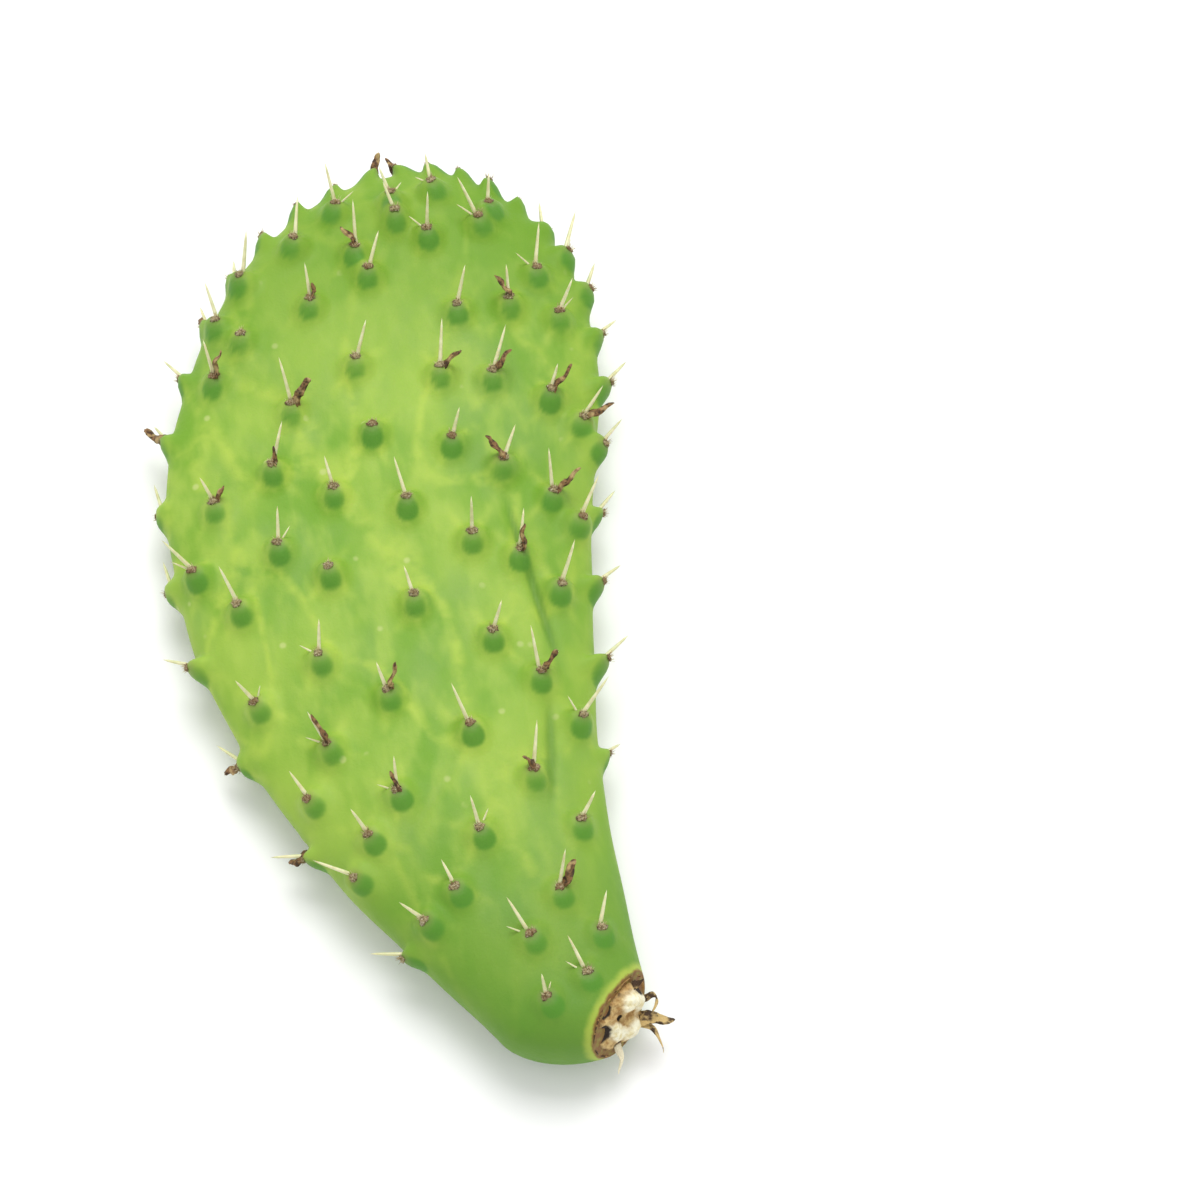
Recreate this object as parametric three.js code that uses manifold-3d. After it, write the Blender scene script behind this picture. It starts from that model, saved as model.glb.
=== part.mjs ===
// A young prickly pear pad (nopal), torn off its plant and lying on one face. Two grown bodies:
// the green pad with its tubercles, spines and dried leaves, and the dry torn tissue that closes
// its base where it broke away. Millimetres, +Z up, the tip toward +Y, the torn base toward -Y.
import * as THREE from 'three';
import { mergeVertices } from 'three/addons/utils/BufferGeometryUtils.js';
import Module from 'manifold-3d';

const wasm = await Module();
wasm.setup();

// The pad's outline from above, without the tubercles
const LENGTH = 225.5;
const WIDEST_AT = 154;
const HALF_WIDTH = 51.4;
const TAPER = 0.735; // share of the half width lost on the way to the base
const TAPER_POWER = 1.49;
const BASE_ROUND = 8;
const BOW = [-20.6, -2.3, 0.5]; // sideways swing of the middle line: one, two and three half waves
const CENTRE_X = -14.8; // middle of the bounding box in the outline's own coordinates
const CENTRE_Y = 115.4;

// Its thickness
const HALF_THICK = 11;
const TIP_THINNING = 3; // taken off the half thickness on the way to the tip
const THINS_FROM = 0.25; // share of the length
const TIP_ROUND = 22;
const THICK_BASE_ROUND = 10;
const MID_HEIGHT = 13; // of the middle plane over the table, at the base
const TIP_LIFT = 1.5;
const SECTION_POWER = 2.3;

// Grid of the skin
const SEGMENTS = 54;
const FACE_CROWDING = 0.25;
const BASE_RINGS = 5;
const RING_STEP = 4;
const TIP_RINGS = 29;

// Areoles on the upper face, in rows that climb to the left. A row crosses the middle of the face
// at its height, and its areoles stand evenly round the section, the first one `from` degrees above
// the right margin. By their number from there, the leafy ones still hold a dried leaf and the
// missing ones never grew.
const ROWS = [
  { height: 215, from: 66, step: 23, count: 3, leafy: [], missing: [] },
  { height: 208, from: 43, step: 43, count: 3, leafy: [], missing: [] },
  { height: 203, from: 56, step: 22, count: 3, leafy: [2], missing: [] },
  { height: 194, from: 38, step: 55, count: 3, leafy: [], missing: [] },
  { height: 186, from: 35, step: 19, count: 5, leafy: [1, 4], missing: [3] },
  { height: 170, from: 25, step: 18, count: 8, leafy: [0, 1, 2, 3], missing: [5] },
  { height: 153, from: 24, step: 17, count: 8, leafy: [1, 2, 5, 7], missing: [6] },
  { height: 135, from: 38, step: 16, count: 6, leafy: [1, 5], missing: [] },
  { height: 113, from: 31, step: 17.5, count: 7, leafy: [1, 6], missing: [] },
  { height: 84, from: 44, step: 17.5, count: 7, leafy: [1, 3], missing: [] },
  { height: 54, from: 50, step: 18, count: 6, leafy: [1, 3, 4], missing: [] },
  { height: 28, from: 70, step: 18.5, count: 5, leafy: [], missing: [] },
  { height: 4, from: 99, step: 17, count: 4, leafy: [], missing: [1] },
];
const CLIMB = 0.78; // of a row with each degree, less toward the tip
const LEVEL_FROM = 205; // height from which the rows are level
const ROW_SCATTER = 3;
const ANGLE_SCATTER = 5;
// Areoles of the margins, numbered from the tip: the square roots of their distances from it, as
// shares of the length, grow by even steps, which spaces them evenly where the outline is round
const TIP_TOOTH = 0.033;
const LEFT_TEETH = { turn: Math.PI, step: 0.069, count: 14, leafy: [0, 5, 7, 11, 12] };
const RIGHT_TEETH = { turn: 0, step: 0.0575, count: 15, leafy: [0] };
const UNDERSIDE_DROP = 9; // the lower face repeats the rows mirrored, half a row further down
const MARGIN_SCATTER = 0.3; // radians round the section
const MARGIN_FACING = 0.3; // an areole is on the margin where its direction rises less than this
const UNDERSIDE_SCATTER = 3;
const UNDERSIDE_FROM = 12; // nearer to the base it has none
const LEAST_SPACING = 5;

// One tubercle: a soft nipple, longer on its base side, that leans toward the tip
const TUBERCLE = 3.4;
const REACH_TO_BASE = 4.4;
const REACH_TO_TIP = 2.9;
const REACH_ACROSS = 3.4;
const REACH_IN = 6;
const TUBERCLE_LEAN = 0.25;
const FLAT_BELOW = 90; // toward the base the tubercles sink into the pad
const LEAST_TUBERCLE = 0.4;
const MARGIN_REACH = 0.68; // share of those reaches along the margin, where the tubercles are teeth
const MARGIN_TOOTH_LEAN = 0.6;

// Spines and dried leaves
const SHORTEST_SPINE = 5.5;
const LONGEST_SPINE = 10.5;
const SPINE_THICK = 1.1;
const SPINE_SIDES = 3;
const SPINE_SUNK = 1.6;
const SPINE_LEAN = 0.75; // radians from the skin's normal toward the tip
const UNDERSIDE_LEAN = 1.3;
const MARGIN_SHORTER = 0.7;
const SPINELESS = [22, 28, 41]; // areoles that have lost their spine, by number
const SPINELESS_TEETH_FROM = 205; // height from which the margin's teeth carry no spine
const SHORTEST_LEAF = 3.5;
const LONGEST_LEAF = 8;
const LEAF_WIDTH = 2;
const LEAF_THICK = 1.3;
const LEAF_SIDES = 4;
const LEAF_STEPS = 2;
const LEAF_BEND = 0.9; // radians toward the tip, from the root to the end
const CLEAR_OF_TABLE = 0.3;

// The torn base: a slanting oval face, and the dry tissue that stands on it
const TEAR_CENTRE = new THREE.Vector3(7.1, 7.7, 14.9);
const TEAR_NORMAL = new THREE.Vector3(0.7, -0.64, 0.31).normalize();
const TEAR_LONG = new THREE.Vector3(0.56, 0.83, 0).projectOnPlane(TEAR_NORMAL).normalize();
const TEAR_SHORT = new THREE.Vector3().crossVectors(TEAR_NORMAL, TEAR_LONG);
const SPINELESS_NEAR_TEAR = 2;
const TISSUE_HALF_LONG = 9.2;
const TISSUE_HALF_SHORT = 8.1;
const TISSUE_RISE = 3.2;
const TISSUE_RIM = 0.9;
const TISSUE_GAP = 0.3;
const RAGGED_BROAD = 0.07; // shares of the oval's half sizes
const RAGGED_FINE = 0.05;
const TISSUE_SIDES = 24;
const TISSUE_RINGS = 4;
const TISSUE_TILT = 0.35; // share of the dome's rise gained toward one end of the oval and lost at the other
const TILT_TURN = -0.3;
const SHRED_THICK = 0.9;
const SHRED_ROOT = 0.8; // share of the way to the oval's rim
const SHRED_SUNK_TO = 0.6; // rise of the roots over the tear, inside the pith
// The loose shreds: the turn round the oval where each is rooted, its length and width, and its
// heading at the root and at its end, as shares of outward, out of the tear and along the oval
const SHREDS = [
  { turn: -1.22, length: 8.5, wide: 4.2, start: [0.3, 1, 0.35], end: [0.3, 1, 0.35] },
  { turn: -1.35, length: 11, wide: 1.9, start: [0.4, 1, 0.3], end: [0, 0.5, -1] },
  { turn: -0.6, length: 8, wide: 1.8, start: [0, 0.7, 0.8], end: [0.1, -0.3, -1] },
  { turn: -2.27, length: 7, wide: 1.5, start: [1, 0.5, 0], end: [0.2, 0.2, -1] },
  { turn: 0.45, length: 3.2, wide: 2.6, start: [0.5, 1, 0], end: [0.8, 0.5, 0] },
];

// A repeatable draw from 0 to 1 for the areole with this key
function draw(key, salt) {
  const wave = Math.sin(key * 12.9898 + salt * 78.233) * 43758.5453;
  return wave - Math.floor(wave);
}

// Quarter-ellipse rounding: 0 at an end, 1 from `reach` on
function rounding(distance, reach) {
  const gap = Math.max(reach - distance, 0) / reach;
  return Math.sqrt(Math.max(1 - gap * gap, 0));
}

function halfWidth(y) {
  if (y > WIDEST_AT) return HALF_WIDTH * rounding(LENGTH - y, LENGTH - WIDEST_AT);
  const lost = TAPER * Math.pow((WIDEST_AT - y) / WIDEST_AT, TAPER_POWER);
  return HALF_WIDTH * (1 - lost) * rounding(y, BASE_ROUND);
}

function middle(y) {
  return BOW.reduce((sum, swing, wave) => sum + swing * Math.sin((wave + 1) * Math.PI * y / LENGTH), 0);
}

function thinning(y) {
  return TIP_THINNING * Math.pow(Math.max(y / LENGTH - THINS_FROM, 0) / (1 - THINS_FROM), 2);
}

function halfThick(y) {
  return (HALF_THICK - thinning(y)) * rounding(LENGTH - y, TIP_ROUND) * rounding(y, THICK_BASE_ROUND);
}

function midHeight(y) {
  return MID_HEIGHT - 0.75 * thinning(y) + TIP_LIFT * Math.pow(y / LENGTH, 3);
}

// Point of the smooth skin: phi runs round the section from the right margin over the upper face
function skin(y, phi) {
  const power = 2 / SECTION_POWER;
  const swell = (wave) => Math.sign(wave) * Math.pow(Math.abs(wave), power);
  return new THREE.Vector3(
    middle(y) + halfWidth(y) * swell(Math.cos(phi)),
    y,
    midHeight(y) + halfThick(y) * swell(Math.sin(phi)),
  );
}

// Directions at that point: along the skin toward the tip, across it, and out of it
function directions(y, phi) {
  const step = 0.02;
  const low = Math.max(y - 0.5, 0.3);
  const high = Math.min(y + 0.5, LENGTH - 0.3);
  const across = skin(y, phi + step).sub(skin(y, phi - step)).normalize();
  const along = skin(high, phi).sub(skin(low, phi)).normalize();
  const out = new THREE.Vector3().crossVectors(across, along).normalize().negate();
  along.addScaledVector(out, -along.dot(out)).normalize();
  return { along, across: new THREE.Vector3().crossVectors(along, out), out };
}

function areole(key, y, phi, leafy) {
  const settled = Math.min(y / FLAT_BELOW, 1);
  const { along, across, out } = directions(y, phi);
  const usual = TUBERCLE * (LEAST_TUBERCLE + (1 - LEAST_TUBERCLE) * settled);
  const height = usual * (0.85 + 0.3 * draw(key, 1));
  const onMargin = Math.abs(out.z) < MARGIN_FACING;
  return { key, y, phi, leafy, along, across, out, height, onMargin, seat: skin(y, phi) };
}

// The areoles of one row on the smooth skin, each a little off its even place
function rowPlaces({ height, from, step, count, leafy, missing }) {
  const climb = CLIMB * Math.max(1 - Math.pow(height / LEVEL_FROM, 3), 0);
  return Array.from({ length: count }, (_, number) => {
    const degrees = from + step * number + ANGLE_SCATTER * (draw(height + number, 31) - 0.5);
    const y = height + climb * (degrees - 90) + ROW_SCATTER * (draw(height + number, 32) - 0.5);
    return { y, phi: THREE.MathUtils.degToRad(degrees), holdsLeaf: leafy.includes(number) };
  }).filter((_, number) => !missing.includes(number));
}

function placeAreoles() {
  const found = [];
  const add = (y, phi, leafy) => {
    const next = areole(found.length + 1, y, phi, leafy);
    const beyondTear = next.seat.clone().sub(TEAR_CENTRE).dot(TEAR_NORMAL) > -SPINELESS_NEAR_TEAR;
    const crowded = found.some((other) => other.seat.distanceTo(next.seat) < LEAST_SPACING);
    if (!beyondTear && !crowded) found.push(next);
  };
  const face = ROWS.flatMap(rowPlaces);
  for (const { y, phi, holdsLeaf } of face) add(y, phi, holdsLeaf);
  for (const { turn, step, count, leafy } of [LEFT_TEETH, RIGHT_TEETH]) {
    for (let number = 0; number < count; number += 1) {
      const y = LENGTH * (1 - Math.pow(TIP_TOOTH + step * number, 2));
      add(y, turn + MARGIN_SCATTER * (draw(found.length, 2) - 0.5), leafy.includes(number));
    }
  }
  for (const { y: upper, phi } of face) {
    const y = upper - UNDERSIDE_DROP + UNDERSIDE_SCATTER * (draw(found.length, 3) - 0.5);
    if (y > UNDERSIDE_FROM) add(y, phi - Math.PI, false);
  }
  return found;
}

const areoles = placeAreoles();

// The tubercles at a point of the smooth skin: their height, and how far they lean toward the tip
function relief(point) {
  let [lift, lean] = [0, 0];
  for (const { seat, along, across, out, height, onMargin } of areoles) {
    const gap = point.clone().sub(seat);
    const u = gap.dot(along);
    const v = gap.dot(across) / REACH_ACROSS;
    const w = gap.dot(out) / REACH_IN;
    const reach = (u > 0 ? REACH_TO_TIP : REACH_TO_BASE) * (onMargin ? MARGIN_REACH : 1);
    const here = height * Math.exp(-(u * u / (reach * reach) + v * v + w * w));
    lift += here;
    lean += here * (onMargin ? MARGIN_TOOTH_LEAN : TUBERCLE_LEAN);
  }
  return { lift, lean };
}

function raised(y, phi) {
  const point = skin(y, phi);
  const { lift, lean } = relief(point);
  const { along, out } = directions(y, phi);
  return point.addScaledVector(out, lift).addScaledVector(along, lean);
}

// Heights of the skin's rings, closer together round both ends
function ringHeights() {
  const heights = [];
  for (let ring = 1; ring <= BASE_RINGS; ring += 1) {
    heights.push(BASE_ROUND * (1 - Math.cos(ring / BASE_RINGS * Math.PI / 2)));
  }
  const steps = Math.round((WIDEST_AT - BASE_ROUND) / RING_STEP);
  for (let ring = 1; ring <= steps; ring += 1) {
    heights.push(BASE_ROUND + (WIDEST_AT - BASE_ROUND) * ring / steps);
  }
  for (let ring = 1; ring < TIP_RINGS; ring += 1) {
    heights.push(WIDEST_AT + (LENGTH - WIDEST_AT) * Math.sin(ring / TIP_RINGS * Math.PI / 2));
  }
  return heights;
}

// The skin's grid, with the vertex nearest to each areole moved onto it
function skinGeometry() {
  const grid = ringHeights().map((y) => Array.from({ length: SEGMENTS }, (_, segment) => {
    const turn = segment / SEGMENTS;
    const phi = 2 * Math.PI * turn + FACE_CROWDING * Math.sin(4 * Math.PI * turn);
    return { y, phi, at: skin(y, phi) };
  }));
  for (const { y, phi, seat } of areoles) {
    const nearest = grid.flat().reduce((best, knot) =>
      (knot.at.distanceToSquared(seat) < best.at.distanceToSquared(seat) ? knot : best));
    Object.assign(nearest, { y, phi, at: seat });
  }
  const points = grid.flat().map(({ y, phi }) => raised(y, phi));
  const base = points.push(new THREE.Vector3(middle(0), 0, midHeight(0))) - 1;
  const tip = points.push(new THREE.Vector3(middle(LENGTH), LENGTH, midHeight(LENGTH))) - 1;
  const faces = [];
  const last = grid.length - 1;
  for (let segment = 0; segment < SEGMENTS; segment += 1) {
    const next = (segment + 1) % SEGMENTS;
    faces.push(base, segment, next);
    faces.push(tip, last * SEGMENTS + next, last * SEGMENTS + segment);
    for (let ring = 0; ring < last; ring += 1) {
      const [a, b] = [ring * SEGMENTS + segment, ring * SEGMENTS + next];
      const [c, d] = [a + SEGMENTS, b + SEGMENTS];
      faces.push(a, c, b, b, c, d);
    }
  }
  const geometry = new THREE.BufferGeometry();
  geometry.setAttribute('position', new THREE.Float32BufferAttribute(points.flatMap((p) => p.toArray()), 3));
  geometry.setIndex(faces);
  return geometry;
}

// A tapering horn along a bent centre line: rings of a few sides and a point. Its section is
// `wide` across and `thick` through.
function hornGeometry(root, start, end, length, wide, thick, sides, steps) {
  const side = new THREE.Vector3().crossVectors(start, new THREE.Vector3(0.3, 0.2, 1)).normalize();
  const points = [];
  const centre = root.clone();
  for (let step = 0; step <= steps; step += 1) {
    const share = step / steps;
    const heading = start.clone().lerp(end, share).normalize();
    const up = new THREE.Vector3().crossVectors(heading, side).normalize();
    const thin = Math.sqrt(1 - share) / 2;
    if (step < steps) {
      for (let corner = 0; corner < sides; corner += 1) {
        const turn = 2 * Math.PI * corner / sides;
        points.push(centre.clone().addScaledVector(side, thin * wide * Math.cos(turn))
          .addScaledVector(up, thin * thick * Math.sin(turn)));
      }
      centre.addScaledVector(heading, length / steps);
    }
  }
  points.push(root.clone(), centre);
  const [base, tip] = [points.length - 2, points.length - 1];
  const faces = [];
  for (let corner = 0; corner < sides; corner += 1) {
    const next = (corner + 1) % sides;
    faces.push(base, next, corner);
    for (let step = 0; step < steps - 1; step += 1) {
      const [a, b] = [step * sides + corner, step * sides + next];
      faces.push(a, b, a + sides, b, b + sides, a + sides);
    }
    faces.push((steps - 1) * sides + corner, (steps - 1) * sides + next, tip);
  }
  const geometry = new THREE.BufferGeometry();
  geometry.setAttribute('position', new THREE.Float32BufferAttribute(points.flatMap((p) => p.toArray()), 3));
  geometry.setIndex(faces);
  return geometry;
}

// A solid for cuts and joins out of a closed geometry, turned outward where it is inside out
function solid(geometry) {
  const bare = geometry.clone();
  bare.deleteAttribute('normal');
  bare.deleteAttribute('uv');
  const merged = mergeVertices(bare, 1e-4);
  const vertProperties = new Float32Array(merged.attributes.position.array);
  const triVerts = new Uint32Array(merged.index.array);
  const made = new wasm.Manifold(new wasm.Mesh({ numProp: 3, vertProperties, triVerts }));
  if (made.volume() > 0) return made;
  triVerts.reverse();
  return new wasm.Manifold(new wasm.Mesh({ numProp: 3, vertProperties, triVerts }));
}

function geometryOf(manifold) {
  const { vertProperties, triVerts } = manifold.getMesh();
  const geometry = new THREE.BufferGeometry();
  geometry.setAttribute('position', new THREE.Float32BufferAttribute(vertProperties, 3));
  geometry.setIndex(Array.from(triVerts));
  geometry.translate(-CENTRE_X, -CENTRE_Y, 0);
  return geometry;
}

// Heading of a spine or leaf: out of the skin, leaned toward the tip, a little to one side
function heading({ along, across, out }, lean, sideways) {
  return out.clone().multiplyScalar(Math.cos(lean)).addScaledVector(along, Math.sin(lean))
    .addScaledVector(across, sideways).normalize();
}

function keepOffTable(direction, root, length) {
  direction.z = Math.max(direction.z, (CLEAR_OF_TABLE + SPINE_THICK - root.z) / length);
  return direction.normalize();
}

function spine(at) {
  const below = at.out.z < -MARGIN_FACING;
  const lean = (below ? UNDERSIDE_LEAN : SPINE_LEAN) + 0.5 * (draw(at.key, 4) - 0.5);
  const short = at.onMargin ? MARGIN_SHORTER : 1;
  const stands = SHORTEST_SPINE + (LONGEST_SPINE - SHORTEST_SPINE) * draw(at.key, 5);
  const length = stands * short + SPINE_SUNK;
  const root = raised(at.y, at.phi).addScaledVector(at.out, -SPINE_SUNK);
  const way = keepOffTable(heading(at, lean, 0.7 * (draw(at.key, 6) - 0.5)), root, length);
  return solid(hornGeometry(root, way, way, length, SPINE_THICK, SPINE_THICK, SPINE_SIDES, 1));
}

function driedLeaf(at) {
  const root = raised(at.y, at.phi).addScaledVector(at.out, -SPINE_SUNK).addScaledVector(at.across, 0.6);
  const sideways = 2 * draw(at.key, 8) - 1;
  const start = heading(at, 0.2, 0.4 * sideways);
  const end = heading(at, 0.2 + LEAF_BEND * (0.7 + 0.6 * draw(at.key, 7)), 1.6 * sideways);
  const length = SHORTEST_LEAF + (LONGEST_LEAF - SHORTEST_LEAF) * draw(at.key, 23) + SPINE_SUNK;
  return solid(hornGeometry(root, start, end, length, LEAF_WIDTH, LEAF_THICK, LEAF_SIDES, LEAF_STEPS));
}

// A block that takes away everything on the far side of a plane
function beyond(centre, normal) {
  const size = 600;
  const block = new THREE.BoxGeometry(size, size, size).translate(0, 0, size / 2);
  block.applyQuaternion(new THREE.Quaternion().setFromUnitVectors(new THREE.Vector3(0, 0, 1), normal));
  block.translate(centre.x, centre.y, centre.z);
  return solid(block);
}

function buildPad() {
  const body = solid(skinGeometry()).subtract(beyond(TEAR_CENTRE, TEAR_NORMAL));
  const hasSpine = ({ key, y, onMargin }) =>
    !SPINELESS.includes(key) && !(onMargin && y > SPINELESS_TEETH_FROM);
  const spines = areoles.filter(hasSpine).map(spine);
  const leaves = areoles.filter(({ leafy }) => leafy).map(driedLeaf);
  const grown = [...spines, ...leaves].reduce((whole, piece) => whole.add(piece), body);
  return geometryOf(grown.subtract(beyond(new THREE.Vector3(), new THREE.Vector3(0, 0, -1))));
}

// Point on the tear, `long` and `short` across it and `rise` out of it
function onTear(long, short, rise) {
  return TEAR_CENTRE.clone().addScaledVector(TEAR_LONG, long).addScaledVector(TEAR_SHORT, short)
    .addScaledVector(TEAR_NORMAL, rise);
}

// A lumpy dome of dried pith on the tear, with a thin rim
function pithGeometry() {
  const points = [onTear(0, 0, 0), onTear(0, 0, TISSUE_GAP + TISSUE_RIM + TISSUE_RISE)];
  for (let ring = 0; ring <= TISSUE_RINGS; ring += 1) {
    const share = Math.cos(ring / (TISSUE_RINGS + 1) * Math.PI / 2);
    for (let side = 0; side < TISSUE_SIDES; side += 1) {
      const turn = 2 * Math.PI * side / TISSUE_SIDES;
      const ragged = 1 + RAGGED_BROAD * Math.sin(3 * turn + 1) + RAGGED_FINE * Math.sin(7 * turn);
      const lump = 1 + TISSUE_TILT * share * Math.cos(turn - TILT_TURN);
      const rise = TISSUE_GAP + TISSUE_RIM + TISSUE_RISE * Math.sqrt(1 - share * share) * lump;
      const [long, short] = [TISSUE_HALF_LONG * Math.cos(turn), TISSUE_HALF_SHORT * Math.sin(turn)];
      points.push(onTear(long * share * ragged, short * share * ragged, rise));
    }
  }
  const floor = points.length;
  for (let side = 0; side < TISSUE_SIDES; side += 1) {
    const rim = points[2 + side];
    points.push(rim.clone().addScaledVector(TEAR_NORMAL, -TISSUE_RIM - TISSUE_GAP));
  }
  const faces = [];
  for (let side = 0; side < TISSUE_SIDES; side += 1) {
    const next = (side + 1) % TISSUE_SIDES;
    faces.push(0, floor + next, floor + side);
    faces.push(floor + side, floor + next, 2 + side, 2 + side, floor + next, 2 + next);
    for (let ring = 0; ring < TISSUE_RINGS; ring += 1) {
      const [a, b] = [2 + ring * TISSUE_SIDES + side, 2 + ring * TISSUE_SIDES + next];
      faces.push(a, b, a + TISSUE_SIDES, a + TISSUE_SIDES, b, b + TISSUE_SIDES);
    }
    const last = 2 + TISSUE_RINGS * TISSUE_SIDES;
    faces.push(last + side, last + next, 1);
  }
  const geometry = new THREE.BufferGeometry();
  geometry.setAttribute('position', new THREE.Float32BufferAttribute(points.flatMap((p) => p.toArray()), 3));
  geometry.setIndex(faces);
  return geometry;
}

// One torn shred of the rim
function shred({ turn, length, wide, start, end }) {
  const [cos, sin] = [Math.cos(turn), Math.sin(turn)];
  const outward = TEAR_LONG.clone().multiplyScalar(cos).addScaledVector(TEAR_SHORT, sin);
  const [along, across] = [SHRED_ROOT * TISSUE_HALF_LONG * cos, SHRED_ROOT * TISSUE_HALF_SHORT * sin];
  const root = onTear(along, across, SHRED_SUNK_TO);
  const way = ([out, normal, long]) => outward.clone().multiplyScalar(out)
    .addScaledVector(TEAR_NORMAL, normal).addScaledVector(TEAR_LONG, long).normalize();
  return solid(hornGeometry(root, way(start), way(end), length, wide, SHRED_THICK, 4, 4));
}

function buildTissue() {
  const grown = SHREDS.map(shred).reduce((tissue, piece) => tissue.add(piece), solid(pithGeometry()));
  return geometryOf(grown.subtract(beyond(onTear(0, 0, TISSUE_GAP), TEAR_NORMAL.clone().negate())));
}

const green = new THREE.MeshStandardMaterial({ color: 0x7fb34a, roughness: 0.55 });
const pad = new THREE.Mesh(buildPad(), green);
pad.name = 'pad';

const dried = new THREE.MeshStandardMaterial({ color: 0xc9ad74, roughness: 0.9 });
const tornBase = new THREE.Mesh(buildTissue(), dried);
tornBase.name = 'torn_base';

const group = new THREE.Group();
group.add(pad, tornBase);

export default group;
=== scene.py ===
import bmesh
import bpy
import numpy as np
from mathutils import Matrix, Vector


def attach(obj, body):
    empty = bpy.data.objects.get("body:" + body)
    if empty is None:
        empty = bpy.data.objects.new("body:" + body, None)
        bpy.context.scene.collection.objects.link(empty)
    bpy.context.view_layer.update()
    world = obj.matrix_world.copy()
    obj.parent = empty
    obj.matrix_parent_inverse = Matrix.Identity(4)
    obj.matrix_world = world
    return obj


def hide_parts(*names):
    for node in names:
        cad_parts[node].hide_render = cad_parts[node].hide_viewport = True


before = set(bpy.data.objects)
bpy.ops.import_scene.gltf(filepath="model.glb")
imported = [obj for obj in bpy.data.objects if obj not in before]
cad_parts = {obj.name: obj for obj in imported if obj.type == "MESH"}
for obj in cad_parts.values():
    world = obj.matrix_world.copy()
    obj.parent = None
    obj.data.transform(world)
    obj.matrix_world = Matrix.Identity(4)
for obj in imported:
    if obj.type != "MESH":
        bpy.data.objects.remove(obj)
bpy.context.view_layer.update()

# -------------------------------------------------------------------------------------------------
# Camera
# It stands past the pad's torn end and looks down on the upper face, with the pad's long axis
# leaning to the left of the picture's upright.
LOOKING_DOWN = np.radians(66.0)
TURNED = np.radians(12.97)
AIM = np.array([0.0413, -0.0047, 0.0])  # where the picture's middle meets the table
AWAY = 0.7752
FOCAL_LENGTH = 100.0  # millimetres, on a picture 36 wide
PICTURE_WIDTH = 36.0


def aimed_camera():
    """A camera that looks from AWAY along one direction at AIM, its picture's upright being the
    table's away direction tilted by the same angle."""
    away = np.array([np.sin(TURNED), np.cos(TURNED), 0.0])
    down = np.array([0.0, 0.0, -1.0])
    forward = np.cos(LOOKING_DOWN) * away + np.sin(LOOKING_DOWN) * down
    up = np.sin(LOOKING_DOWN) * away - np.cos(LOOKING_DOWN) * down
    lens = bpy.data.cameras.new("camera")
    lens.lens = FOCAL_LENGTH
    lens.sensor_width = PICTURE_WIDTH
    lens.clip_start = 0.05
    lens.clip_end = 10.0
    camera = bpy.data.objects.new("camera", lens)
    turned = Matrix(np.stack([np.cross(forward, up), up, -forward], axis=1).tolist()).to_4x4()
    camera.matrix_world = Matrix.Translation(Vector(AIM - AWAY * forward)) @ turned
    bpy.context.scene.collection.objects.link(camera)
    bpy.context.scene.camera = camera


aimed_camera()

# -------------------------------------------------------------------------------------------------
# Pad skin
# The pad is one flattened, fleshy stem under a thin waxy skin. Its skin rises in a tubercle under
# each areole, and it was torn off its plant across the right side of its base.
MM = 0.001  # the pad is worked out in millimetres, tip toward +Y, before it is placed
PAD_CENTRE = np.array([-14.8, 115.4, 0.0])  # the frame's origin in those coordinates

# Outline from above and thickness, without the tubercles
LENGTH = 225.5
WIDEST_AT = 154.0
HALF_WIDTH = 51.4
TAPER = 0.735
TAPER_POWER = 1.49
BASE_ROUND = 8.0
BOW = (-20.6, -2.3, 0.5)
HALF_THICK = 11.0
TIP_THINNING = 3.0
THINS_FROM = 0.25
TIP_ROUND = 22.0
THICK_BASE_ROUND = 10.0
MID_HEIGHT = 13.0
THINNED_ABOVE = 0.75  # share of the thinning that the middle plane sinks by
TIP_LIFT = 1.5
SECTION_POWER = 2.3

# Areoles on the upper face, in rows that climb to the left: the height where a row crosses the
# middle of the face, the first areole's degrees above the right margin, the degrees from one to
# the next, how many, and by their number those that still hold a dried leaf and those missing
ROWS = (
    (215, 66, 23, 3, (), ()),
    (208, 43, 43, 3, (), ()),
    (203, 56, 22, 3, (2,), ()),
    (194, 38, 55, 3, (), ()),
    (186, 35, 19, 5, (1, 4), (3,)),
    (170, 25, 18, 8, (0, 1, 2, 3), (5,)),
    (153, 24, 17, 8, (1, 2, 5, 7), (6,)),
    (135, 38, 16, 6, (1, 5), ()),
    (113, 31, 17.5, 7, (1, 6), ()),
    (84, 44, 17.5, 7, (1, 3), ()),
    (54, 50, 18, 6, (1, 3, 4), ()),
    (28, 70, 18.5, 5, (), ()),
    (4, 99, 17, 4, (), (1,)),
)
CLIMB = 0.78  # millimetres for each degree, at the base
LEVEL_FROM = 205.0  # height from which rows don't climb
ROW_SCATTER = 3.0
ANGLE_SCATTER = 5.0  # degrees

# The left and the right margin's teeth: angle round the section, step, how many, and those with a
# leaf. A tooth's share of the length from the tip is the square of TIP_TOOTH and its steps added.
TIP_TOOTH = 0.033
TEETH = ((np.pi, 0.069, 14, (0, 5, 7, 11, 12)), (0.0, 0.0575, 15, (0,)))
UNDERSIDE_DROP = 9.0
MARGIN_SCATTER = 0.3
MARGIN_FACING = 0.3  # an areole is on the margin where its direction rises less than this
UNDERSIDE_SCATTER = 3.0
UNDERSIDE_FROM = 12.0
LEAST_SPACING = 5.0

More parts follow.
